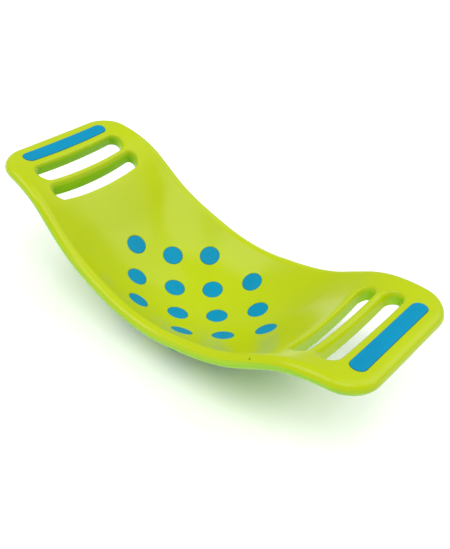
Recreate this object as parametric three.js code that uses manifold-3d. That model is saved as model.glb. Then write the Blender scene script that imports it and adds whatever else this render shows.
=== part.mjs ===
// A child's rocker balance board: one hollow blow-moulded board, dished and curved up at both ends, with two
// hand slots and a rubber grip strip at each end, and fourteen poppers through its middle. A popper is a grip
// button, flush with the top, whose stem passes through the board and holds a suction cup beneath it.
//
// Frame: +X along the board, +Y across it, +Z up. The board stands at z = 0 on its lowest cups, and the
// origin is under its middle. Lengths are in millimetres and angles in degrees.
import * as THREE from "three";
import { mergeVertices } from "three/addons/utils/BufferGeometryUtils.js";
import Module from "manifold-3d";

const wasm = await Module();
wasm.setup();

// ---- The board's sheet ----
const HALF_LENGTH = 350;
const HALF_WIDTH_MIDDLE = 142;
const HALF_WIDTH_END = 119.5;
const CORNER_RADIUS = 45;
const THICKNESS = 21;
const WALL = 4;
const HALF_THICKNESS = THICKNESS / 2;

// ---- The centre line: an arc, a straight ramp, and an arc back to level at the end ----
const ROCKER_RADIUS = 265;
const RAMP_ANGLE = THREE.MathUtils.degToRad(43);
const RAMP_LENGTH = 52;

// ---- The dish: how far the long edges stand above the centre line ----
const DISH_DEPTH = 64;
const DISH_POWER = 2.1;
const DISH_FADE_START = 60;
const DISH_FADE_END = 362;

// ---- Hand slots, measured in plan at the top face, from the middle of the board. On the way down to the
// underside a slot moves outwards by its lean, and each of its long sides closes in by its draft ----
const SLOTS = [
  { centre: 237.9, halfWidth: 12.2, lean: 3.3, draft: 2.4 },
  { centre: 276.2, halfWidth: 15.5, lean: 6.7, draft: 3 },
];
const SLOT_HALF_LENGTH = 89;
const SLOT_EDGE_RADIUS = 5;
const FLARE_ANGLE = THREE.MathUtils.degToRad(60);
const SLOT_COLLAR = 10;

// ---- Grip strips ----
const STRIP_CENTRE = 318;
const STRIP_HALF_WIDTH = 11;
const STRIP_HALF_LENGTH = 86.5;
const STRIP_STANDS_PROUD = 1;
const STRIP_RECESS = 1.4;

// ---- Poppers: rows across the board, each centred on the long axis ----
const POPPERS_PER_ROW = [2, 3, 4, 3, 2];
const POPPER_PITCH = 96;
const ROW_SPACING = 44.6;
const BUTTON_RADIUS = 16.6;
const BUTTON_THICKNESS = 3.5;
const BUTTON_CROWN = 0.5;
const STEM_RADIUS = 5.9;
const BARB_RADIUS = 7.2;
const BARB_TIP_RADIUS = 4.9;
const BARB_HEIGHT = 1.2;
const BARB_DROP = 0.5;
const COLUMN_RADIUS = 19.5;

// ---- Suction cups, with heights measured down from the board's underside ----
const CUP_HEIGHT = 8.5;
const CUP_RADIUS = 15;
const CUP_LIP = 1.2;
const CUP_WALL = 1.4;
const SHOULDER_RADIUS = 12.2;
const SHOULDER_DROP = 4;
const COLLAR_RADIUS = 8;
const COLLAR_HEIGHT = 2.9;
const WEB_RADIUS = 8.6;
const WEB_BOTTOM = 4.2;
const CUP_TRAVEL = 2.5;

// ---- Fits and finish ----
const GAP = 0.3;
const RUNNING_GAP = 0.4;
const BLOW_HOLE_RADIUS = 1.2;
const BLOW_HOLE_PLACE = 203;
const BLOW_HOLE_TILT = THREE.MathUtils.degToRad(24);

// ---- Fineness of the facets, and how far a cutter runs past the face that it cuts ----
const ROUND_SEGMENTS = 12;
const HIDDEN_SEGMENTS = 8;
const SIDE_STEPS = 6;
const END_STEPS = 3;
const PLAN_ROUNDS = 10;
const WELD_DISTANCE = 1e-4;
const OVERCUT = 3;

const GREEN = { color: 0xc3d92c, roughness: 0.38, metalness: 0 };
const BLUE = { color: 0x0897bb, roughness: 0.55, metalness: 0 };

// ---------------------------------------------------------------- the mid-surface

// Height of the board's centre line above its lowest point, at a distance x from the middle.
function centreHeight(x) {
  const slope = Math.sin(RAMP_ANGLE);
  const rampStart = ROCKER_RADIUS * slope;
  const rampEnd = rampStart + RAMP_LENGTH * Math.cos(RAMP_ANGLE);
  const levelRadius = (HALF_LENGTH - rampEnd) / slope;
  const along = Math.min(Math.abs(x), HALF_LENGTH);
  if (along < rampStart) return ROCKER_RADIUS - Math.sqrt(ROCKER_RADIUS ** 2 - along ** 2);
  const rampFoot = ROCKER_RADIUS * (1 - Math.cos(RAMP_ANGLE));
  if (along < rampEnd) return rampFoot + (along - rampStart) * Math.tan(RAMP_ANGLE);
  const rampTop = rampFoot + RAMP_LENGTH * slope;
  const sine = slope - (along - rampEnd) / levelRadius;
  return rampTop + levelRadius * (Math.sqrt(1 - sine ** 2) - Math.cos(RAMP_ANGLE));
}

// Half the board's width at x, measured to the outside of its rounded long edge.
function halfWidth(x) {
  return HALF_WIDTH_MIDDLE - (HALF_WIDTH_MIDDLE - HALF_WIDTH_END) * (x / HALF_LENGTH) ** 2;
}

// A point of the mid-surface. The dish fades out smoothly towards the ends.
function midPoint(x, y) {
  const faded = THREE.MathUtils.smoothstep(Math.abs(x), DISH_FADE_START, DISH_FADE_END);
  const rise = DISH_DEPTH * (1 - faded) * Math.abs(y / halfWidth(x)) ** DISH_POWER;
  return new THREE.Vector3(x, y, centreHeight(x) + rise);
}

// The upward unit normal of the mid-surface.
function normalAt(x, y) {
  const step = 0.05;
  const alongX = midPoint(x + step, y).sub(midPoint(x - step, y));
  const alongY = midPoint(x, y + step).sub(midPoint(x, y - step));
  return alongX.cross(alongY).normalize();
}

// The point at plan place (x, y) and a height above the mid-surface along its normal.
function onBoard(x, y, height) {
  return midPoint(x, y).addScaledVector(normalAt(x, y), height);
}

// The point at a height above the mid-surface, along its normal, that stands over plan place (x, y).
function overPlan(x, y, height) {
  const wanted = new THREE.Vector2(x, y);
  const foot = wanted.clone();
  for (let round = 0; round < PLAN_ROUNDS; round++) {
    const point = onBoard(foot.x, foot.y, height);
    foot.add(wanted).sub(point);
  }
  return onBoard(foot.x, foot.y, height);
}

// A frame on the mid-surface: local Z is the normal and local X runs along the board.
function frameAt(x, y) {
  const up = normalAt(x, y);
  const along = new THREE.Vector3(0, 1, 0).cross(up).normalize();
  const across = up.clone().cross(along);
  return new THREE.Matrix4().makeBasis(along, across, up).setPosition(midPoint(x, y));
}

// ---------------------------------------------------------------- meshes and solids

// A geometry from points and triangles, each triangle being three point indices.
function meshGeometry(points, triangles) {
  const positions = new Float32Array(points.flatMap((p) => p.toArray()));
  return new THREE.BufferGeometry()
    .setAttribute("position", new THREE.BufferAttribute(positions, 3))
    .setIndex(triangles.flat());
}

// A closed geometry as a solid that can be cut and joined.
function toSolid(geometry) {
  const bare = geometry.clone();
  bare.deleteAttribute("normal");
  bare.deleteAttribute("uv");
  const merged = mergeVertices(bare, WELD_DISTANCE);
  const vertProperties = merged.attributes.position.array;
  const triVerts = new Uint32Array(merged.index.array);
  return new wasm.Manifold(new wasm.Mesh({ numProp: 3, vertProperties, triVerts }));
}

// A solid as a geometry, with its vertex normals left to flat shading.
function toGeometry(solid) {
  const mesh = solid.getMesh();
  return new THREE.BufferGeometry()
    .setAttribute("position", new THREE.BufferAttribute(new Float32Array(mesh.vertProperties), 3))
    .setIndex(new THREE.BufferAttribute(new Uint32Array(mesh.triVerts), 1));
}

// A named mesh in one of the object's two plastics.
function namedMesh(name, geometry, finish) {
  const mesh = new THREE.Mesh(geometry, new THREE.MeshStandardMaterial({ ...finish, flatShading: true }));
  mesh.name = name;
  return mesh;
}

// Rings of points joined into the side of a solid. Each ring runs anticlockwise as seen from above, and the
// rings go downwards.
function ringSides(rings) {
  const count = rings[0].length;
  const triangles = [];
  for (let ring = 0; ring + 1 < rings.length; ring++) {
    for (let k = 0; k < count; k++) {
      const next = (k + 1) % count;
      const upper = ring * count;
      const lower = upper + count;
      triangles.push([upper + k, lower + k, lower + next], [upper + k, lower + next, upper + next]);
    }
  }
  return triangles;
}

// A turned solid about the local Z axis from [radius, height] points, listed upwards on the outside.
function turned(profile, segments = ROUND_SEGMENTS) {
  const points = profile.map(([radius, height]) => new THREE.Vector2(radius, height));
  return new THREE.LatheGeometry(points, segments).rotateX(Math.PI / 2);
}

// A cylinder about the local Z axis between two heights, placed by a frame.
function post(frame, radius, low, high, segments = ROUND_SEGMENTS) {
  const outline = [[0, low], [radius, low], [radius, high], [0, high]];
  return toSolid(turned(outline, segments).applyMatrix4(frame));
}

// ---------------------------------------------------------------- the board

const RIM_END = HALF_LENGTH - HALF_THICKNESS;
const RIM_CORNER = CORNER_RADIUS - HALF_THICKNESS;

// Half the width, at x, of the curve that the rounded rim is centred on.
function rimHalfWidth(x) {
  const intoCorner = Math.max(0, Math.abs(x) - (RIM_END - RIM_CORNER));
  const corner = RIM_CORNER - Math.sqrt(Math.max(0, RIM_CORNER ** 2 - intoCorner ** 2));
  return halfWidth(x) - HALF_THICKNESS - corner;
}

// Places along the board: evenly spaced between the corners, then by angle round each corner.
function lengthStations(pitch, cornerSteps) {
  const straight = RIM_END - RIM_CORNER;
  const steps = Math.round(straight / pitch);
  const stations = [];
  for (let i = 0; i < steps; i++) stations.push((straight * i) / steps);
  for (let i = 0; i <= cornerSteps; i++) {
    stations.push(straight + RIM_CORNER * Math.sin((i / cornerSteps) * (Math.PI / 2)));
  }
  const mirrored = stations.slice(1).reverse().map((x) => -x);
  return [...mirrored, ...stations];
}

// The sheet within a distance of the mid-surface: two parallel faces joined by a half-round rim.
function sheetSolid(reach, { pitch, rows, cornerSteps, rimSteps }) {
  const stations = lengthStations(pitch, cornerSteps);
  const grid = stations.map((x) => {
    const edge = rimHalfWidth(x);
    return Array.from({ length: rows + 1 }, (_, j) => [x, edge * ((2 * j) / rows - 1)]);
  });
  const last = stations.length - 1;
  const place = (i, j) => i * (rows + 1) + j;
  const points = [];
  for (const height of [reach, -reach]) {
    grid.flat().forEach(([x, y]) => points.push(onBoard(x, y, height)));
  }
  const under = grid.flat().length;
  const triangles = [];
  for (let i = 0; i < last; i++) {
    for (let j = 0; j < rows; j++) {
      const [a, b, c, d] = [place(i, j), place(i + 1, j), place(i + 1, j + 1), place(i, j + 1)];
      triangles.push([a, b, c], [a, c, d]);
      triangles.push([under + a, under + c, under + b], [under + a, under + d, under + c]);
    }
  }
  const edge = [
    ...grid.map((column) => column[0]).slice(0, -1),
    ...grid[last].slice(0, -1),
    ...grid.map((column) => column[rows]).reverse().slice(0, -1),
    ...[...grid[0]].reverse().slice(0, -1),
  ];
  const rim = rimRings(edge, reach, rimSteps);
  const rimStart = points.length;
  points.push(...rim.flat());
  triangles.push(...ringSides(rim).map((triangle) => triangle.map((k) => k + rimStart)));
  return toSolid(meshGeometry(points, triangles));
}

// Rings from the top face round the outside to the bottom face, about a closed edge curve.
function rimRings(edge, reach, steps) {
  const sections = edge.map(([x, y], k) => {
    const before = midPoint(...edge[(k + edge.length - 1) % edge.length]);
    const after = midPoint(...edge[(k + 1) % edge.length]);
    const up = normalAt(x, y);
    const outward = after.sub(before).cross(up).normalize();
    return Array.from({ length: steps + 1 }, (_, step) => {
      const turn = Math.PI * (0.5 - step / steps);
      const point = midPoint(x, y).addScaledVector(up, reach * Math.sin(turn));
      return point.addScaledVector(outward, reach * Math.cos(turn));
    });
  });
  return Array.from({ length: steps + 1 }, (_, step) => sections.map((section) => section[step]));
}

// A round-ended outline in plan, anticlockwise from its +Y tip, symmetric about its centre line.
function stadium(centreX, halfAcross, halfLong) {
  const straight = halfLong - halfAcross;
  const half = [];
  for (let k = 0; k < END_STEPS; k++) {
    const turn = (k / END_STEPS) * (Math.PI / 2);
    half.push([-halfAcross * Math.sin(turn), straight + halfAcross * Math.cos(turn)]);
  }
  for (let k = 0; k <= SIDE_STEPS; k++) half.push([-halfAcross, straight * (1 - (2 * k) / SIDE_STEPS)]);
  for (let k = 1; k < END_STEPS; k++) {
    const turn = (k / END_STEPS) * (Math.PI / 2);
    half.push([-halfAcross * Math.cos(turn), -straight - halfAcross * Math.sin(turn)]);
  }
  const otherHalf = half.map(([x, y]) => [-x, -y]);
  return [...half, ...otherHalf].map(([x, y]) => [centreX + x, y]);
}

// A block with round ends through rings of points, each made from a stadium outline; the rings go downwards.
function stadiumBlock(rings) {
  const count = rings[0].length;
  const triangles = ringSides(rings);
  const bottom = (rings.length - 1) * count;
  for (let k = 0; k < count / 2; k++) {
    const [a, b, c, d] = [k, k + 1, (count - k - 1) % count, (count - k) % count];
    if (a !== d) triangles.push([a, b, d], [bottom + a, bottom + d, bottom + b]);
    if (b !== c) triangles.push([b, c, d], [bottom + b, bottom + d, bottom + c]);
  }
  return toSolid(meshGeometry(rings.flat(), triangles));
}

// The block of a hand slot. Each level is a height above the mid-surface and how much wider than the slot
// the block is there.
function slotBlock(slot, side, levels) {
  return stadiumBlock(levels.map(([height, wider]) => {
    const depth = (HALF_THICKNESS - height) / THICKNESS;
    const centre = side * (slot.centre + slot.lean * depth);
    const across = slot.halfWidth - slot.draft * depth + wider;
    return stadium(centre, across, SLOT_HALF_LENGTH + wider).map(([x, y]) => overPlan(x, y, height));
  }));
}

// The space of a hand slot, flaring at both faces so that its edges are soft to hold. Past each face the
// flare goes on at the slope it has there.
function slotCutter(slot, side) {
  const turn = SLOT_EDGE_RADIUS * (1 - Math.SQRT1_2);
  const flare = [
    [HALF_THICKNESS + OVERCUT, turn + (OVERCUT + turn) * Math.tan(FLARE_ANGLE)],
    [HALF_THICKNESS - turn, turn],
    [HALF_THICKNESS - SLOT_EDGE_RADIUS, 0],
  ];
  return slotBlock(slot, side, [...flare, ...flare.map(([height, wider]) => [-height, wider]).reverse()]);
}

// The solid wall that surrounds a hand slot inside the hollow board.
function slotCollar(slot, side) {
  return slotBlock(slot, side, [[HALF_THICKNESS, SLOT_COLLAR], [-HALF_THICKNESS, SLOT_COLLAR]]);
}

// A grip strip's block between two heights above the mid-surface, wider than the strip by a margin.
function stripBlock(side, high, low, margin) {
  const outline = stadium(side * STRIP_CENTRE, STRIP_HALF_WIDTH + margin, STRIP_HALF_LENGTH + margin);
  return stadiumBlock([high, low].map((height) => outline.map(([x, y]) => onBoard(x, y, height))));
}

// Where the poppers stand, as [x, y] places in plan.
function popperPlaces() {
  return POPPERS_PER_ROW.flatMap((count, row) =>
    Array.from({ length: count }, (_, k) => [
      (k - (count - 1) / 2) * POPPER_PITCH,
      (row - (POPPERS_PER_ROW.length - 1) / 2) * ROW_SPACING,
    ]),
  );
}

// What is cut away for a popper: the button's seat, the stem's hole and the recess for the cup's collar.
function popperHole([x, y]) {
  const frame = frameAt(x, y);
  const seat = HALF_THICKNESS + BUTTON_CROWN - BUTTON_THICKNESS - GAP;
  const recess = CUP_TRAVEL + RUNNING_GAP * 2 - HALF_THICKNESS;
  return post(frame, BUTTON_RADIUS + GAP, seat, HALF_THICKNESS + OVERCUT)
    .add(post(frame, STEM_RADIUS + RUNNING_GAP, -HALF_THICKNESS, HALF_THICKNESS))
    .add(post(frame, COLLAR_RADIUS + RUNNING_GAP * 2, -HALF_THICKNESS - OVERCUT, recess));
}

// The blow hole left by moulding, which opens the hollow through the upper side of the near long edge.
function blowHole() {
  const x = BLOW_HOLE_PLACE;
  const y = -rimHalfWidth(x);
  const along = midPoint(x + 1, -rimHalfWidth(x + 1)).sub(midPoint(x - 1, -rimHalfWidth(x - 1))).normalize();
  const outward = along.clone().cross(normalAt(x, y)).normalize();
  const axis = outward.applyAxisAngle(along, -BLOW_HOLE_TILT);
  const frame = new THREE.Matrix4().makeBasis(along, axis.clone().cross(along), axis);
  const outside = HALF_THICKNESS + OVERCUT;
  return post(frame.setPosition(midPoint(x, y)), BLOW_HOLE_RADIUS, 0, outside, HIDDEN_SEGMENTS);
}

// The hollow inside the board: it leaves solid columns round the poppers and solid walls round the slots.
function boardHollow(places) {
  let hollow = sheetSolid(HALF_THICKNESS - WALL, { pitch: 45, rows: 8, cornerSteps: 2, rimSteps: 2 });
  for (const side of [-1, 1]) {
    for (const slot of SLOTS) hollow = hollow.subtract(slotCollar(slot, side));
  }
  for (const [x, y] of places) {
    const column = post(frameAt(x, y), COLUMN_RADIUS, -HALF_THICKNESS, HALF_THICKNESS, HIDDEN_SEGMENTS);
    hollow = hollow.subtract(column);
  }
  return hollow;
}

function board(places) {
  let body = sheetSolid(HALF_THICKNESS, { pitch: 25, rows: 12, cornerSteps: 4, rimSteps: 6 });
  body = body.subtract(boardHollow(places)).subtract(blowHole());
  for (const place of places) body = body.subtract(popperHole(place));
  for (const side of [-1, 1]) {
    for (const slot of SLOTS) body = body.subtract(slotCutter(slot, side));
    const recessFloor = HALF_THICKNESS - STRIP_RECESS;
    body = body.subtract(stripBlock(side, HALF_THICKNESS + OVERCUT, recessFloor, GAP));
  }
  return namedMesh("board_shell", toGeometry(body), GREEN);
}

// ---------------------------------------------------------------- the rubber parts

// A grip strip, bedded in its recess and standing a little proud of the board.
function gripStrip(name, side) {
  const top = HALF_THICKNESS + STRIP_STANDS_PROUD;
  const bottom = HALF_THICKNESS - STRIP_RECESS + GAP;
  return namedMesh(name, toGeometry(stripBlock(side, top, bottom, 0)), BLUE);
}

// A grip button: a disc on the board's top and a stem through it, with a barb that holds the cup on.
function gripButton(name, [x, y]) {
  const top = HALF_THICKNESS + BUTTON_CROWN;
  const barbTop = -HALF_THICKNESS - WEB_BOTTOM - BARB_DROP;
  const outline = [
    [0, barbTop - BARB_HEIGHT],
    [BARB_TIP_RADIUS, barbTop - BARB_HEIGHT],
    [BARB_RADIUS, barbTop],
    [STEM_RADIUS, barbTop],
    [STEM_RADIUS, top - BUTTON_THICKNESS],
    [BUTTON_RADIUS, top - BUTTON_THICKNESS],
    [BUTTON_RADIUS, top],
    [0, top],
  ];
  return namedMesh(name, turned(outline).applyMatrix4(frameAt(x, y)), BLUE);
}

// A suction cup: a collar that slides on the button's stem, and a bell that opens downwards.
function popperCup(name, [x, y]) {
  const inside = STEM_RADIUS + RUNNING_GAP;
  const outline = [
    [inside, -GAP],
    [inside, -WEB_BOTTOM],
    [WEB_RADIUS, -WEB_BOTTOM],
    [SHOULDER_RADIUS - CUP_WALL, -SHOULDER_DROP - CUP_WALL],
    [CUP_RADIUS - CUP_LIP, -CUP_HEIGHT],
    [CUP_RADIUS, -CUP_HEIGHT],
    [SHOULDER_RADIUS, -SHOULDER_DROP],
    [COLLAR_RADIUS, -COLLAR_HEIGHT],
    [COLLAR_RADIUS, -GAP],
    [inside, -GAP],
  ].map(([radius, height]) => [radius, height - HALF_THICKNESS]);
  return namedMesh(name, turned(outline).applyMatrix4(frameAt(x, y)), BLUE);
}

// ---------------------------------------------------------------- the assembly

const places = popperPlaces();
const object = new THREE.Group();
object.add(board(places));
object.add(gripStrip("grip_strip_left", -1), gripStrip("grip_strip_right", 1));
places.forEach((place, k) => {
  const number = String(k + 1).padStart(2, "0");
  object.add(gripButton(`grip_button_${number}`, place), popperCup(`popper_cup_${number}`, place));
});

// Stand the object on its lowest cups.
object.position.z = -new THREE.Box3().setFromObject(object).min.z;

export default object;
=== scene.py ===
# A child's rocker balance board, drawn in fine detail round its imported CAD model.
# Shapes are worked out in millimetres in the board's own frame and turned into metres when a mesh is made.
import math

import bmesh
import bpy
import numpy as np
from mathutils import Matrix, Vector
from mathutils.geometry import delaunay_2d_cdt


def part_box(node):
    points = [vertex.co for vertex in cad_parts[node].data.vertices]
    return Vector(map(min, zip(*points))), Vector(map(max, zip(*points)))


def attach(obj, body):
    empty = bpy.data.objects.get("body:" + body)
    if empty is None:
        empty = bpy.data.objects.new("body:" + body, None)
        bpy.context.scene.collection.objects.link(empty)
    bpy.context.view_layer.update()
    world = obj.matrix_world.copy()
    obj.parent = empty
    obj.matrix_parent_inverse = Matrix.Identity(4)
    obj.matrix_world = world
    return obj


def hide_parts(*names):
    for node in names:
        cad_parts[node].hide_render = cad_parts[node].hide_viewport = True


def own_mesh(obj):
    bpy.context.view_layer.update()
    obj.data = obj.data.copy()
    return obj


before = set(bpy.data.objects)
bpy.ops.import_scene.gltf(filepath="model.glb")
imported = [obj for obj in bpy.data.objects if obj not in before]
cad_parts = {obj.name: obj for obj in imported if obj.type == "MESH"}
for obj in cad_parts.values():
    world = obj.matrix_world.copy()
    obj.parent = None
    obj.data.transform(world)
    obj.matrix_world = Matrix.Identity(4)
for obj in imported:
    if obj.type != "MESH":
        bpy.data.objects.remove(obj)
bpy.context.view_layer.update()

MM = 0.001

# ---- The board's sheet, as in the CAD model ----
HALF_LENGTH = 350.0
HALF_WIDTH_MIDDLE = 142.0
HALF_WIDTH_END = 119.5
CORNER_RADIUS = 45.0
HALF_THICKNESS = 10.5
ROCKER_RADIUS = 265.0
RAMP_ANGLE = math.radians(43)
RAMP_LENGTH = 52.0
DISH_DEPTH = 64.0
DISH_POWER = 2.1
DISH_FADE_START = 60.0
DISH_FADE_END = 362.0

# ---- What is let into it ----
SLOTS = (  # measured in plan: centre and half-width at the top, then lean and draft down to the underside
    (237.9, 12.2, 3.3, 2.4),
    (276.2, 15.5, 6.7, 3.0),
)
SLOT_HALF_LENGTH = 89.0
SLOT_EDGE_RADIUS = 5.0
STRIP_CENTRE = 318.0
STRIP_HALF_WIDTH = 11.0
STRIP_HALF_LENGTH = 86.5
STRIP_RECESS = 1.4
STRIP_STANDS_PROUD = 1.0
POPPERS_PER_ROW = (2, 3, 4, 3, 2)
POPPER_PITCH = 96.0
ROW_SPACING = 44.6
BUTTON_RADIUS = 16.6
BUTTON_THICKNESS = 3.5
BUTTON_CROWN = 0.5
STEM_RADIUS = 5.9
BARB_RADIUS = 7.2
BARB_TIP_RADIUS = 4.9
BARB_HEIGHT = 1.2
BARB_DROP = 0.5
CUP_HEIGHT = 8.5
CUP_RADIUS = 15.0
CUP_LIP = 1.2
CUP_WALL = 1.4
SHOULDER_RADIUS = 12.2
SHOULDER_DROP = 4.0
COLLAR_RADIUS = 8.0
COLLAR_HEIGHT = 2.9
WEB_RADIUS = 8.6
WEB_BOTTOM = 4.2
CUP_TRAVEL = 2.5
GAP = 0.3
RUNNING_GAP = 0.4
RECESS_RADIUS = COLLAR_RADIUS + 2 * RUNNING_GAP
BLOW_HOLE_PLACE = 203.0
BLOW_HOLE_TILT = math.radians(24)
BLOW_HOLE_RADIUS = 1.2
BLOW_HOLE_DEPTH = 9.0

# ---- Moulded details too fine for the CAD model ----
LIP_RADIUS = 0.6  # rounding where a recess meets the face
SLOT_EDGE_DEPTH = 9.0  # how far down a slot's wall its upper rounding reaches
SLOT_UNDER_RADIUS = 1.5
STRIP_EDGE_RADIUS = 1.0
BUTTON_DOME = 0.15  # how far the disc's middle stands above its nominal top, and its edge below
BUTTON_DOME_FLAT = 6.0
CUP_FLARE = 1.1  # how far a bell widens just above its lip, over the flare's height
CUP_FLARE_HEIGHT = 2.2
LIP_EDGE_BEVEL = 0.3
LIP_EDGE_HEIGHT = 0.4
SEAM_HEIGHT = 0.22  # the parting line that the mould's two halves leave
SEAM_HALF_WIDTH = 0.5
SEAM_CREST_HALF_WIDTH = 0.2

# ---- Fineness of the meshes ----
FACE_PITCH = 4.5
STRIP_TOP_PITCH = 3.0
STRIP_BED_PITCH = 6.0
LOOP_PITCH = 3.6
ROUND_STEPS = 56
RIM_STEPS = 14
EDGE_STEPS = 6
SLOT_EDGE_STEPS = 9
STRIP_EDGE_STEPS = 4
LIP_STEPS = 3
FILLET_STEPS = 5
LARGEST_REACH = 0.49  # of a profile's side, for the fillet at either end of it
STADIUM_END_STEPS = 20
STADIUM_SIDE_STEPS = 43
BLOW_HOLE_SEGMENTS = 20
PLAN_ROUNDS = 12  # rounds of correction that find a place on the sheet
OUTER_MARGIN = 0.6  # clear space between a region's grid and its outline, in pitches
HOLE_MARGIN = 0.5
TINY = 1e-12
TRIANGULATION_TOLERANCE = 1e-7
WELD_DISTANCE = 2e-6  # in metres

# ---- Colours, each from its darker to its lighter cloud ----
LIME_UPPER = ((0.395, 0.493, 0.001), (0.415, 0.513, 0.002))
# The second green is painted shade: a deeper, less red copy of the lime, laid on the walls and underside
# where light reaches less.
LIME_PAINTED_SHADE = ((0.250, 0.530, 0.010), (0.270, 0.550, 0.012))
RUBBER_BLUE = ((0.0, 0.215, 0.385), (0.0, 0.236, 0.415))
FLOOR_WHITE = (0.95, 0.95, 0.95, 1)

# ---- How noise drives the materials ----
NOISE_ROUGHNESS = 0.55
NOISE_SPAN = (0.25, 0.75)  # where most of its values lie
RAMP_STOPS = (0.3, 0.7)
# Painted shade: over this range of facing, the painted-shade green of walls and underside gives way to the
# upper green.
PAINTED_SHADE_FADE = (-0.15, 0.6)  # upward parts of the normal between which the upper green takes over

# ---- The camera ----
CAMERA_TURNS = (math.radians(39.31), math.radians(39.36), math.radians(5.65))  # azimuth, elevation, roll
CAMERA_TARGET = (-24.1, 0, 54.4)  # from the middle of the board's mid-surface
CAMERA_DISTANCE = 1133.0
SENSOR_WIDTH = 36.0
FOCAL_LENGTH = 46.49
CAMERA_SHIFT = (0.0703, 0.0017)

# The board's own frame has the middle of its mid-surface at z = 0; the model stands on its cups.
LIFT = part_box("board_shell")[0].z / MM + HALF_THICKNESS


# ---------------------------------------------------------------- the mid-surface

def centre_height(x):
    """Height of the centre line above its lowest point: an arc, a straight ramp, and an arc back to level."""
    slope = math.sin(RAMP_ANGLE)
    ramp_start = ROCKER_RADIUS * slope
    ramp_end = ramp_start + RAMP_LENGTH * math.cos(RAMP_ANGLE)
    level_radius = (HALF_LENGTH - ramp_end) / slope
    along = np.minimum(np.abs(x), HALF_LENGTH)
    rocker = ROCKER_RADIUS - np.sqrt(ROCKER_RADIUS**2 - np.minimum(along, ramp_start) ** 2)
    foot = ROCKER_RADIUS * (1 - math.cos(RAMP_ANGLE))
    ramp = foot + (along - ramp_start) * math.tan(RAMP_ANGLE)
    sine = slope - (np.maximum(along, ramp_end) - ramp_end) / level_radius
    level = foot + RAMP_LENGTH * slope + level_radius * (np.sqrt(1 - sine**2) - math.cos(RAMP_ANGLE))
    return np.where(along < ramp_start, rocker, np.where(along < ramp_end, ramp, level))


def half_width(x):
    """Half the board's width in plan, which narrows towards the ends."""
    return HALF_WIDTH_MIDDLE - (HALF_WIDTH_MIDDLE - HALF_WIDTH_END) * (x / HALF_LENGTH) ** 2


def mid_points(x, y):
    """Points of the mid-surface at plan places x, y."""
    x, y = np.asarray(x, float), np.asarray(y, float)
    share = np.clip((np.abs(x) - DISH_FADE_START) / (DISH_FADE_END - DISH_FADE_START), 0, 1)
    dish = DISH_DEPTH * (1 - share * share * (3 - 2 * share))
    rise = dish * np.abs(y / half_width(x)) ** DISH_POWER
    return np.stack([x, y, centre_height(x) + rise], -1)


def normals(x, y, step=0.05):
    """The mid-surface's upward unit normals at plan places x, y."""
    along_x = mid_points(x + step, y) - mid_points(x - step, y)
    along_y = mid_points(x, y + step) - mid_points(x, y - step)
    up = np.cross(along_x, along_y)
    return up / np.linalg.norm(up, axis=-1, keepdims=True)


def on_board(xy, height):
    """Points at plan places xy and a height above the mid-surface, along its normal."""
    xy = np.asarray(xy, float)
    return mid_points(xy[..., 0], xy[..., 1]) + normals(xy[..., 0], xy[..., 1]) * height


def feet_under(outline, height):
    """The mid-surface places whose points at height stand over an outline given in plan."""
    feet = np.array(outline)
    for _ in range(PLAN_ROUNDS):
        feet = feet + outline - on_board(feet, height)[..., :2]
    return feet


def local_frame(x, y):
    """(origin, along, across, up) of the mid-surface at one place, with along running down the board."""
    up = normals(np.float64(x), np.float64(y))
    along = np.cross([0.0, 1.0, 0.0], up)
    along /= np.linalg.norm(along)
    return mid_points(x, y), along, np.cross(up, along), up


def unit_circle(along=(1, 0), across=(0, 1)):
    """Evenly spaced points of a circle of radius 1, turning from one direction towards the other."""
    turn = np.linspace(0, 2 * math.pi, ROUND_STEPS, endpoint=False)
    return np.outer(np.cos(turn), along) + np.outer(np.sin(turn), across)


def ring_on_face(place, radius, height):
    """Plan places where a round hole of that radius, along the normal at place, meets the face at height."""
    origin, along, across, _ = local_frame(*place)
    wanted = radius * unit_circle()
    xy = wanted + np.array(place)
    for _ in range(PLAN_ROUNDS):
        offset = on_board(xy, height) - origin
        xy = xy + wanted - np.stack([offset @ along, offset @ across], -1)
    return xy


# ---------------------------------------------------------------- outlines in plan

RIM_END = HALF_LENGTH - HALF_THICKNESS
RIM_CORNER = CORNER_RADIUS - HALF_THICKNESS


def evenly(start, end, pitch=LOOP_PITCH):
    """Values from start towards end, without end, about one pitch apart."""
    count = max(1, round(abs(end - start) / pitch))
    return start + (end - start) * np.arange(count) / count


def rim_outline():
    """The plan curve that the rounded rim is centred on, anticlockwise, from the near long edge."""
    straight = RIM_END - RIM_CORNER
    end_half = half_width(RIM_END) - HALF_THICKNESS - RIM_CORNER

    def near_edge(x):
        into_corner = np.maximum(0, np.abs(x) - straight)
        return half_width(x) - HALF_THICKNESS - RIM_CORNER + np.sqrt(RIM_CORNER**2 - into_corner**2)

    turn = evenly(0, math.pi / 2, LOOP_PITCH / RIM_CORNER)
    corner_x = straight + RIM_CORNER * np.sin(turn)
    long_x = evenly(-straight, straight)
    near = np.concatenate([long_x, corner_x])
    near = np.stack([near, -near_edge(near)], -1)
    end_y = evenly(-end_half, end_half)
    end = np.stack([np.full_like(end_y, RIM_END), end_y], -1)
    corner_back = np.stack([corner_x, near_edge(corner_x)], -1)[:0:-1]
    half = np.concatenate([near, end, [[RIM_END, end_half]], corner_back])
    return np.concatenate([half, -half])


def stadium(centre, half_across, half_long):
    """A round-ended outline about x = centre, long along Y, anticlockwise."""
    straight = half_long - half_across
    turn = np.linspace(0, math.pi, STADIUM_END_STEPS + 1)
    top = np.stack([half_across * np.cos(turn), straight + half_across * np.sin(turn)], -1)
    side_y = np.linspace(straight, -straight, STADIUM_SIDE_STEPS + 1)[1:-1]
    side = np.stack([np.full_like(side_y, -half_across), side_y], -1)
    half = np.concatenate([top, side])
    return np.concatenate([half, -half]) + [centre, 0]


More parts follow.
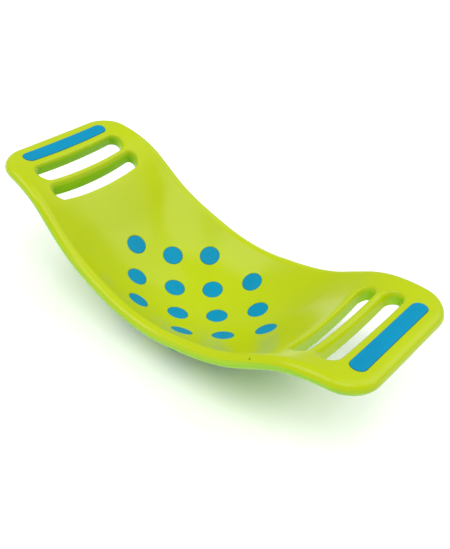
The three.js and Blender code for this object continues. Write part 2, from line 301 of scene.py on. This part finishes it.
def inside(points, loop):
    """Which points lie inside a closed outline."""
    result = np.zeros(len(points), bool)
    x, y = points[:, 0], points[:, 1]
    for (x0, y0), (x1, y1) in zip(loop, np.roll(loop, -1, axis=0)):
        crosses = (y0 > y) != (y1 > y)
        if y1 != y0:
            result ^= crosses & (x < x0 + (y - y0) * (x1 - x0) / (y1 - y0))
    return result


def distance_to(points, loop):
    """Each point's distance to a closed outline."""
    best = np.full(len(points), np.inf)
    for a, b in zip(loop, np.roll(loop, -1, axis=0)):
        edge = b - a
        share = np.clip((points - a) @ edge / max(edge @ edge, TINY), 0, 1)
        best = np.minimum(best, np.linalg.norm(points - a - share[:, None] * edge, axis=1))
    return best


# ---------------------------------------------------------------- mesh building

class Shell:
    """Points and faces of a surface, in millimetres in the board's frame, welded when it becomes a mesh."""

    def __init__(self):
        self.points = []
        self.faces = []
        self.count = 0

    def add(self, points, faces):
        """Points, and faces that count from the first of them."""
        self.points.append(np.asarray(points, float))
        self.faces.extend([k + self.count for k in face] for face in faces)
        self.count += len(points)

    def skirt(self, rings):
        """Closed rings joined by quads. Material lies to the left of each ring and the rings go downwards."""
        around = len(rings[0])
        faces = []
        for ring in range(len(rings) - 1):
            for k in range(around):
                after = (k + 1) % around
                upper, lower = ring * around, (ring + 1) * around
                faces.append([upper + k, lower + k, lower + after, upper + after])
        self.add(np.concatenate(rings), faces)

    def region(self, outer, holes, height, up=True, pitch=FACE_PITCH):
        """The part of the sheet's face at height that lies inside one outline and outside others."""
        low, high = outer.min(axis=0), outer.max(axis=0)
        grid = np.stack(np.meshgrid(evenly(low[0], high[0], pitch), evenly(low[1], high[1], pitch)), -1)
        grid[1::2, :, 0] += pitch / 2
        grid = grid.reshape(-1, 2)
        grid = grid[inside(grid, outer)]
        for loop in [outer, *holes]:
            margin = OUTER_MARGIN if loop is outer else HOLE_MARGIN
            grid = grid[distance_to(grid, loop) > margin * pitch]
        for hole in holes:
            grid = grid[~inside(grid, hole)]
        loops = [outer, *holes]
        places = np.concatenate([*loops, grid])
        edges, start = [], 0
        for loop in loops:
            edges += [(start + k, start + (k + 1) % len(loop)) for k in range(len(loop))]
            start += len(loop)
        found = delaunay_2d_cdt([Vector(p) for p in places], edges, [], 0, TRIANGULATION_TOLERANCE, True)
        triangles = np.array([tri for tri in found[2] if len(tri) == 3])
        origin = np.array([ids[0] for ids in found[3]])
        triangles = origin[triangles]
        middles = places[triangles].mean(axis=1)
        keep = inside(middles, outer)
        for hole in holes:
            keep &= ~inside(middles, hole)
        triangles = triangles[keep] if up else triangles[keep][:, ::-1]
        self.add(on_board(places, height), triangles.tolist())

    def mesh_object(self, name):
        """The finished object, in metres, with its pieces' shared edges welded."""
        points = np.concatenate(self.points) + [0, 0, LIFT]
        mesh = bpy.data.meshes.new(name)
        mesh.from_pydata((points * MM).tolist(), [], self.faces)
        work = bmesh.new()
        work.from_mesh(mesh)
        bmesh.ops.remove_doubles(work, verts=work.verts, dist=WELD_DISTANCE)
        work.to_mesh(mesh)
        work.free()
        mesh.shade_smooth()
        made = bpy.data.objects.new(name, mesh)
        bpy.context.scene.collection.objects.link(made)
        return made


def rounding(radius, steps=EDGE_STEPS):
    """How far back and how far down each point of a quarter-round edge is from the face's plane."""
    turn = np.linspace(0, math.pi / 2, steps + 1)
    return [(radius * (1 - math.sin(t)), radius * (1 - math.cos(t))) for t in turn]


# ---------------------------------------------------------------- the board

def rim_rings(outline):
    """Rings from the top face round the outside to the bottom face, with the parting line half way."""
    before = mid_points(*np.roll(outline, 1, axis=0).T)
    after = mid_points(*np.roll(outline, -1, axis=0).T)
    middle = mid_points(*outline.T)
    up = normals(*outline.T)
    outward = np.cross(after - before, up)
    outward /= np.linalg.norm(outward, axis=1, keepdims=True)
    foot, crest = SEAM_HALF_WIDTH / HALF_THICKNESS, SEAM_CREST_HALF_WIDTH / HALF_THICKNESS
    turns = np.linspace(math.pi / 2, -math.pi / 2, RIM_STEPS + 1)
    turns = turns[np.abs(turns) > foot]
    turns = np.sort(np.concatenate([turns, [foot, crest, -crest, -foot]]))[::-1]
    rings = []
    for turn in turns:
        reach = HALF_THICKNESS + (SEAM_HEIGHT if abs(turn) < foot else 0)
        rings.append(middle + reach * (math.sin(turn) * up + math.cos(turn) * outward))
    return rings


def slot_feet(side, slot, height, wider=0.0):
    """The mid-surface places of a hand slot's outline at one height."""
    centre, half_across, lean, draft = slot
    depth = (HALF_THICKNESS - height) / (2 * HALF_THICKNESS)
    across = half_across - draft * depth + wider
    outline = stadium(side * (centre + lean * depth), across, SLOT_HALF_LENGTH + wider)
    return feet_under(outline, height)


def slot_rings(side, slot):
    """Rings down a hand slot: a long soft rounding from the top face, and a small one at the bottom face."""
    stretch = SLOT_EDGE_DEPTH / SLOT_EDGE_RADIUS
    upper = rounding(SLOT_EDGE_RADIUS, SLOT_EDGE_STEPS)
    top = [(back, HALF_THICKNESS - stretch * down) for back, down in upper]
    bottom = [(back, down - HALF_THICKNESS) for back, down in rounding(SLOT_UNDER_RADIUS)]
    levels = top + bottom[::-1]
    return [on_board(slot_feet(side, slot, height, back)[::-1], height) for back, height in levels]


def popper_places():
    """Plan places of the dots, row by row from the near edge."""
    for row, count in enumerate(POPPERS_PER_ROW):
        for k in range(count):
            yield (k - (count - 1) / 2) * POPPER_PITCH, (row - (len(POPPERS_PER_ROW) - 1) / 2) * ROW_SPACING


def popper_hole_rings(place):
    """Rings down a popper's hole: button seat, stem hole and recess for the cup's collar."""
    origin, along, across, up = local_frame(*place)
    round_about = unit_circle(along, across)
    seat = HALF_THICKNESS + BUTTON_CROWN - BUTTON_THICKNESS - GAP
    recess = CUP_TRAVEL + 2 * RUNNING_GAP - HALF_THICKNESS
    stem_hole = STEM_RADIUS + RUNNING_GAP
    rings = []
    for back, down in rounding(LIP_RADIUS, LIP_STEPS):
        height = HALF_THICKNESS - down
        rings.append(on_board(ring_on_face(place, BUTTON_RADIUS + GAP + back, height), height))
    for radius, height in (
        (BUTTON_RADIUS + GAP, seat),
        (stem_hole, seat),
        (stem_hole, recess),
        (RECESS_RADIUS, recess),
    ):
        rings.append(origin + radius * round_about + height * up)
    for back, down in reversed(rounding(LIP_RADIUS, LIP_STEPS)):
        height = down - HALF_THICKNESS
        rings.append(on_board(ring_on_face(place, RECESS_RADIUS + back, height), height))
    return [ring[::-1] for ring in rings]


def make_board():
    """The moulding's outer skin: two faces, a rounded rim, and the walls of everything let into it."""
    shell = Shell()
    rim = rim_outline()
    shell.skirt(rim_rings(rim))
    top_holes, bottom_holes = [], []
    for side in (-1, 1):
        for slot in SLOTS:
            shell.skirt(slot_rings(side, slot))
            top_holes.append(slot_feet(side, slot, HALF_THICKNESS, SLOT_EDGE_RADIUS))
            bottom_holes.append(slot_feet(side, slot, -HALF_THICKNESS, SLOT_UNDER_RADIUS))
        top_holes.append(make_strip_recess(shell, side))
    for place in popper_places():
        shell.skirt(popper_hole_rings(place))
        top_holes.append(ring_on_face(place, BUTTON_RADIUS + GAP + LIP_RADIUS, HALF_THICKNESS))
        bottom_holes.append(ring_on_face(place, RECESS_RADIUS + LIP_RADIUS, -HALF_THICKNESS))
    shell.region(rim, top_holes, HALF_THICKNESS)
    shell.region(rim, bottom_holes, -HALF_THICKNESS, up=False)
    made = shell.mesh_object("board_moulding")
    cut_blow_hole(made)
    return made


def make_strip_recess(shell, side):
    """The shallow recess that a grip strip is bedded in. Returns its outline on the top face."""
    centre = side * STRIP_CENTRE
    rings = []
    across, long = STRIP_HALF_WIDTH + GAP, STRIP_HALF_LENGTH + GAP
    for back, down in rounding(LIP_RADIUS, LIP_STEPS):
        rings.append(on_board(stadium(centre, across + back, long + back)[::-1], HALF_THICKNESS - down))
    floor = stadium(centre, across, long)
    rings.append(on_board(floor[::-1], HALF_THICKNESS - STRIP_RECESS))
    shell.skirt(rings)
    shell.region(floor, [], HALF_THICKNESS - STRIP_RECESS)
    return stadium(centre, across + LIP_RADIUS, long + LIP_RADIUS)


def cut_blow_hole(board):
    """The small hole that the blowing needle leaves in the upper side of the near long edge."""
    x = np.array([-1.0, 0.0, 1.0]) + BLOW_HOLE_PLACE
    before, middle, after = mid_points(x, HALF_THICKNESS - half_width(x))
    along = (after - before) / np.linalg.norm(after - before)
    up = normals(*middle[:2])
    outward = np.cross(along, up)
    axis = math.cos(BLOW_HOLE_TILT) * outward + math.sin(BLOW_HOLE_TILT) * up
    centre = middle + axis * HALF_THICKNESS + np.array([0, 0, LIFT])
    cutter_mesh = bpy.data.meshes.new("blow_hole_cutter")
    work = bmesh.new()
    turn = np.column_stack([along, np.cross(axis, along), axis])
    place = Matrix.Translation(Vector(centre * MM)) @ Matrix(turn.tolist()).to_4x4()
    radius = BLOW_HOLE_RADIUS * MM
    bmesh.ops.create_cone(
        work, cap_ends=True, segments=BLOW_HOLE_SEGMENTS, radius1=radius, radius2=radius,
        depth=BLOW_HOLE_DEPTH * MM, matrix=place,
    )
    work.to_mesh(cutter_mesh)
    work.free()
    cutter = bpy.data.objects.new("blow_hole_cutter", cutter_mesh)
    bpy.context.scene.collection.objects.link(cutter)
    cut = board.modifiers.new("blow_hole", "BOOLEAN")
    cut.operation = "DIFFERENCE"
    cut.solver = "EXACT"
    cut.object = cutter
    apply_modifiers(board)
    bpy.data.objects.remove(cutter)


def apply_modifiers(piece):
    """Give a piece the mesh that its modifiers make of it."""
    ready = piece.evaluated_get(bpy.context.evaluated_depsgraph_get())
    finished = bpy.data.meshes.new_from_object(ready)
    piece.modifiers.clear()
    piece.data = finished


# ---------------------------------------------------------------- the rubber parts

def smooth_profile(rows):
    """A turned piece's outline from rows of (radius, height, fillet), listed downwards.

    A corner's fillet reaches that far along both its sides, but never as far as the next corner's fillet.
    """
    corners = [np.array(row[:2], float) for row in rows]
    result = []
    for k, (corner, (_, _, fillet)) in enumerate(zip(corners, rows)):
        if fillet == 0:
            result.append(corner)
            continue
        back, on = corners[k - 1] - corner, corners[k + 1] - corner
        back_length, on_length = np.linalg.norm(back), np.linalg.norm(on)
        reach = min(fillet, LARGEST_REACH * back_length, LARGEST_REACH * on_length)
        start = corner + back / back_length * reach
        end = corner + on / on_length * reach
        for share in np.linspace(0, 1, FILLET_STEPS + 1):
            result.append((1 - share) ** 2 * start + 2 * share * (1 - share) * corner + share**2 * end)
    return np.array(result)


def turned(name, place, profile, closed=False):
    """A turned piece about the board's normal at place, from [radius, height] points listed downwards."""
    origin, along, across, up = local_frame(*place)
    round_about = unit_circle(along, across)
    shell = Shell()
    rings = [origin + radius * round_about + height * up for radius, height in profile if radius > 0]
    if closed:
        rings.append(rings[0])
    shell.skirt(rings)
    if not closed:
        fan = [[k, (k + 1) % ROUND_STEPS, ROUND_STEPS] for k in range(ROUND_STEPS)]
        shell.add(np.vstack([rings[0], origin + profile[0][1] * up]), fan)
        fan = [[after, k, middle] for k, after, middle in fan]
        shell.add(np.vstack([rings[-1], origin + profile[-1][1] * up]), fan)
    return shell.mesh_object(name)


def make_button(number, place):
    """A grip button: a softly crowned disc flush with the board, with a stem and barb beneath."""
    top = HALF_THICKNESS + BUTTON_CROWN
    barb_top = -HALF_THICKNESS - WEB_BOTTOM - BARB_DROP
    barb_tip = barb_top - BARB_HEIGHT
    profile = smooth_profile([
        (0, top + BUTTON_DOME, 0),
        (BUTTON_DOME_FLAT, top + 0.8 * BUTTON_DOME, 3),
        (BUTTON_RADIUS, top - BUTTON_DOME, 1.1),
        (BUTTON_RADIUS, top - BUTTON_THICKNESS, 0.3),
        (STEM_RADIUS, top - BUTTON_THICKNESS, 0.5),
        (STEM_RADIUS, barb_top, 0.4),
        (BARB_RADIUS, barb_top, 0.5),
        (BARB_TIP_RADIUS, barb_tip, 0.9),
        (0, barb_tip, 0),
    ])
    return turned(f"grip_disc_{number}", place, profile)


def make_cup(number, place):
    """A suction cup: a collar that grips the stem, and a bell that thins to a supple lip."""
    inside_radius = STEM_RADIUS + RUNNING_GAP
    neck = CUP_RADIUS - CUP_FLARE
    outside = [
        (COLLAR_RADIUS, -GAP, 0),
        (COLLAR_RADIUS, -COLLAR_HEIGHT, 0.9),
        (SHOULDER_RADIUS, -SHOULDER_DROP, 2.2),
        (neck, -CUP_HEIGHT + CUP_FLARE_HEIGHT, 1.5),
        (CUP_RADIUS, -CUP_HEIGHT + LIP_EDGE_HEIGHT, 0.4),
        (CUP_RADIUS - LIP_EDGE_BEVEL, -CUP_HEIGHT, 0.2),
    ]
    within = [
        (CUP_RADIUS - CUP_LIP + LIP_EDGE_BEVEL, -CUP_HEIGHT, 0.3),
        (neck - CUP_LIP, -CUP_HEIGHT + CUP_FLARE_HEIGHT - LIP_EDGE_BEVEL, 1.2),
        (SHOULDER_RADIUS - CUP_WALL, -SHOULDER_DROP - CUP_WALL, 1.6),
        (WEB_RADIUS, -WEB_BOTTOM, 0.8),
        (inside_radius, -WEB_BOTTOM, 0.3),
        (inside_radius, -GAP, 0),
    ]
    profile = smooth_profile(outside + within) - [0, HALF_THICKNESS]
    return turned(f"suction_cup_{number}", place, profile, closed=True)


def make_strip(name, side):
    """A grip strip: a round-ended rubber pad that follows the board, with softly rounded edges."""
    shell = Shell()
    centre = side * STRIP_CENTRE
    top = HALF_THICKNESS + STRIP_STANDS_PROUD
    bottom = HALF_THICKNESS - STRIP_RECESS + GAP
    rings = []
    for back, down in rounding(STRIP_EDGE_RADIUS, STRIP_EDGE_STEPS):
        outline = stadium(centre, STRIP_HALF_WIDTH - back, STRIP_HALF_LENGTH - back)
        rings.append(on_board(outline, top - down))
    full = stadium(centre, STRIP_HALF_WIDTH, STRIP_HALF_LENGTH)
    rings.append(on_board(full, bottom))
    shell.skirt(rings)
    level = stadium(centre, STRIP_HALF_WIDTH - STRIP_EDGE_RADIUS, STRIP_HALF_LENGTH - STRIP_EDGE_RADIUS)
    shell.region(level, [], top, pitch=STRIP_TOP_PITCH)
    shell.region(full, [], bottom, up=False, pitch=STRIP_BED_PITCH)
    return shell.mesh_object(name)


# ---------------------------------------------------------------- materials

def new_material(name):
    """A new material, its node tree's nodes and links, and its surface shader."""
    material = bpy.data.materials.new(name)
    material.use_nodes = True
    nodes, links = material.node_tree.nodes, material.node_tree.links
    return material, nodes, links, nodes["Principled BSDF"]


def noise(nodes, links, where, scale, detail):
    """Noise in 0..1 with that many patches to the metre and that many finer octaves."""
    texture = nodes.new("ShaderNodeTexNoise")
    texture.inputs["Scale"].default_value = scale
    texture.inputs["Detail"].default_value = detail
    texture.inputs["Roughness"].default_value = NOISE_ROUGHNESS
    links.new(where, texture.inputs["Vector"])
    return texture.outputs["Fac"]


def ramp(nodes, links, value, colours):
    """The first colour where noise is low, the second where it is high, and a blend between."""
    made = nodes.new("ShaderNodeValToRGB")
    for element, position, colour in zip(made.color_ramp.elements, RAMP_STOPS, colours):
        element.position = position
        element.color = (*colour, 1)
    links.new(value, made.inputs["Fac"])
    return made.outputs["Color"]


def ranged(nodes, links, value, low, high):
    """Noise mapped to low..high."""
    made = nodes.new("ShaderNodeMapRange")
    made.inputs["From Min"].default_value, made.inputs["From Max"].default_value = NOISE_SPAN
    made.inputs["To Min"].default_value = low
    made.inputs["To Max"].default_value = high
    links.new(value, made.inputs["Value"])
    return made.outputs["Result"]


def mixed(nodes, links, share, colour, other):
    """A blend from one colour to another."""
    made = nodes.new("ShaderNodeMix")
    made.data_type = "RGBA"
    links.new(share, made.inputs["Factor"])
    links.new(colour, made.inputs["A"])
    links.new(other, made.inputs["B"])
    return made.outputs["Result"]


def bumped(nodes, links, layers, shader):
    """Bump layers of (noise, strength, height in metres), one on another."""
    normal = None
    for value, strength, distance in layers:
        bump = nodes.new("ShaderNodeBump")
        bump.inputs["Strength"].default_value = strength
        bump.inputs["Distance"].default_value = distance
        links.new(value, bump.inputs["Height"])
        if normal is not None:
            links.new(normal, bump.inputs["Normal"])
        normal = bump.outputs["Normal"]
    links.new(normal, shader.inputs["Normal"])


def painted_shade_mask(nodes, links, normal):
    """Share of the upper green against painted shade: 1 on faces that look up at rest, 0 on the underside,
    with a soft change on the walls.
    """
    parts = nodes.new("ShaderNodeSeparateXYZ")
    links.new(normal, parts.inputs["Vector"])
    made = nodes.new("ShaderNodeMapRange")
    made.interpolation_type = "SMOOTHSTEP"
    made.inputs["From Min"].default_value, made.inputs["From Max"].default_value = PAINTED_SHADE_FADE
    links.new(parts.outputs["Z"], made.inputs["Value"])
    return made.outputs["Result"]


def board_plastic():
    """Blow-moulded polyethylene: an even lime green with a soft gloss and a faint moulded texture.

    The walls and the underside carry painted shade: a deeper, less red green than the upper face.
    """
    material, nodes, links, shader = new_material("board_plastic")
    coordinates = nodes.new("ShaderNodeTexCoord")
    where = coordinates.outputs["Object"]
    cloudy = noise(nodes, links, where, scale=9, detail=3)
    upper = ramp(nodes, links, cloudy, LIME_UPPER)
    lower = ramp(nodes, links, cloudy, LIME_PAINTED_SHADE)
    # Painted shade: walls and underside take the deeper green because of the way they face.
    share = painted_shade_mask(nodes, links, coordinates.outputs["Normal"])
    links.new(mixed(nodes, links, share, lower, upper), shader.inputs["Base Color"])
    patchy = noise(nodes, links, where, scale=38, detail=5)
    links.new(ranged(nodes, links, patchy, low=0.18, high=0.26), shader.inputs["Roughness"])
    shader.inputs["IOR"].default_value = 1.5
    shader.inputs["Specular IOR Level"].default_value = 0.22
    peel = noise(nodes, links, where, scale=260, detail=3)
    grain = noise(nodes, links, where, scale=1500, detail=2)
    bumped(nodes, links, [(peel, 0.12, 0.4 * MM), (grain, 0.10, 0.12 * MM)], shader)
    return material


def grip_rubber(name, roughness, patchiness=0.06):
    """Moulded rubber: a saturated blue with a fine matt grain."""
    material, nodes, links, shader = new_material(name)
    where = nodes.new("ShaderNodeTexCoord").outputs["Object"]
    cloudy = noise(nodes, links, where, scale=30, detail=4)
    links.new(ramp(nodes, links, cloudy, RUBBER_BLUE), shader.inputs["Base Color"])
    shader.inputs["Specular IOR Level"].default_value = 0.1
    patchy = noise(nodes, links, where, scale=140, detail=4)
    spread = ranged(nodes, links, patchy, roughness - patchiness, roughness + patchiness)
    links.new(spread, shader.inputs["Roughness"])
    grain = noise(nodes, links, where, scale=1800, detail=2)
    bumped(nodes, links, [(patchy, 0.10, 0.3 * MM), (grain, 0.25, 0.15 * MM)], shader)
    return material


def finish_piece(piece, material, slot, body, *nodes):
    """Give a piece its material, ride it on a body and let it stand for CAD nodes; its slot is not used."""
    piece.data.materials.clear()
    piece.data.materials.append(material)
    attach(piece, body)
    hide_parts(*nodes)


# ---------------------------------------------------------------- stage, light and camera

def make_floor():
    """A wide sheet of white paper."""
    half = 6.0  # in metres
    mesh = bpy.data.meshes.new("floor")
    corners = [(-half, -half, 0), (half, -half, 0), (half, half, 0), (-half, half, 0)]
    mesh.from_pydata(corners, [], [(0, 1, 2, 3)])
    floor = bpy.data.objects.new("floor", mesh)
    bpy.context.scene.collection.objects.link(floor)
    material, _, _, shader = new_material("floor_paper")
    shader.inputs["Base Color"].default_value = FLOOR_WHITE
    shader.inputs["Roughness"].default_value = 0.9
    shader.inputs["Specular IOR Level"].default_value = 0.1
    mesh.materials.append(material)


def soft_sun(name, towards, strength, spread):
    """Soft light from a direction, given from the object towards the light. Its spread is in degrees."""
    data = bpy.data.lights.new(name, "SUN")
    data.energy = strength
    data.angle = math.radians(spread)
    lamp = bpy.data.objects.new(name, data)
    lamp.rotation_mode = "QUATERNION"
    lamp.rotation_quaternion = Vector(towards).to_track_quat("Z", "Y")
    bpy.context.scene.collection.objects.link(lamp)


def light_studio():
    """A white sky and four soft lamps, bright enough together to burn the floor out to white."""
    world = bpy.data.worlds.new("studio")
    bpy.context.scene.world = world
    world.use_nodes = True
    background = world.node_tree.nodes["Background"]
    background.inputs["Color"].default_value = (1, 1, 1, 1)
    background.inputs["Strength"].default_value = 0.48
    soft_sun("front_left_light", towards=(-1.0, -1.2, 1.6), strength=1.24, spread=40)
    soft_sun("high_front_light", towards=(0.5, -0.6, 2.0), strength=1.20, spread=40)
    soft_sun("back_light", towards=(0.3, 1.0, 1.5), strength=0.74, spread=50)
    soft_sun("far_right_light", towards=(1.4, 1.3, 1.6), strength=0.50, spread=40)


def make_camera():
    """The photograph's viewpoint: from the near right, above, with a slight roll."""
    azimuth, elevation, roll = CAMERA_TURNS
    target = (Vector(CAMERA_TARGET) + Vector((0, 0, LIFT))) * MM
    back = Vector((
        math.sin(azimuth) * math.cos(elevation),
        -math.cos(azimuth) * math.cos(elevation),
        math.sin(elevation),
    ))
    right = Vector((math.cos(azimuth), math.sin(azimuth), 0))
    up = back.cross(right)
    rolled_right = right * math.cos(roll) + up * math.sin(roll)
    rolled_up = up * math.cos(roll) - right * math.sin(roll)
    data = bpy.data.cameras.new("camera")
    data.sensor_fit = "AUTO"
    data.sensor_width = SENSOR_WIDTH
    data.lens = FOCAL_LENGTH
    data.shift_x, data.shift_y = CAMERA_SHIFT
    camera = bpy.data.objects.new("camera", data)
    turn = Matrix((rolled_right, rolled_up, back)).transposed().to_4x4()
    camera.matrix_world = Matrix.Translation(target + back * CAMERA_DISTANCE * MM) @ turn
    bpy.context.scene.collection.objects.link(camera)
    bpy.context.scene.camera = camera


# ---------------------------------------------------------------- the scene

make_camera()
make_floor()
light_studio()
bpy.context.scene.view_settings.view_transform = "Standard"

plastic = board_plastic()
strip_rubber = grip_rubber("strip_rubber", roughness=0.55)
cup_rubber = grip_rubber("cup_rubber", roughness=0.42)

finish_piece(make_board(), plastic, "board_plastic", "board", "board_shell")
for side, name in ((-1, "left"), (1, "right")):
    strip = make_strip(f"strip_pad_{name}", side)
    finish_piece(strip, strip_rubber, "grip_rubber", "board", f"grip_strip_{name}")

for k, place in enumerate(popper_places()):
    number = f"{k + 1:02d}"
    finish_piece(make_button(number, place), strip_rubber, "grip_rubber", "board", f"grip_button_{number}")
    cup = make_cup(number, place)
    finish_piece(cup, cup_rubber, "cup_rubber", f"cup_{number}", f"popper_cup_{number}")
    origin, _, _, up = local_frame(*place)
    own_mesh(cup)
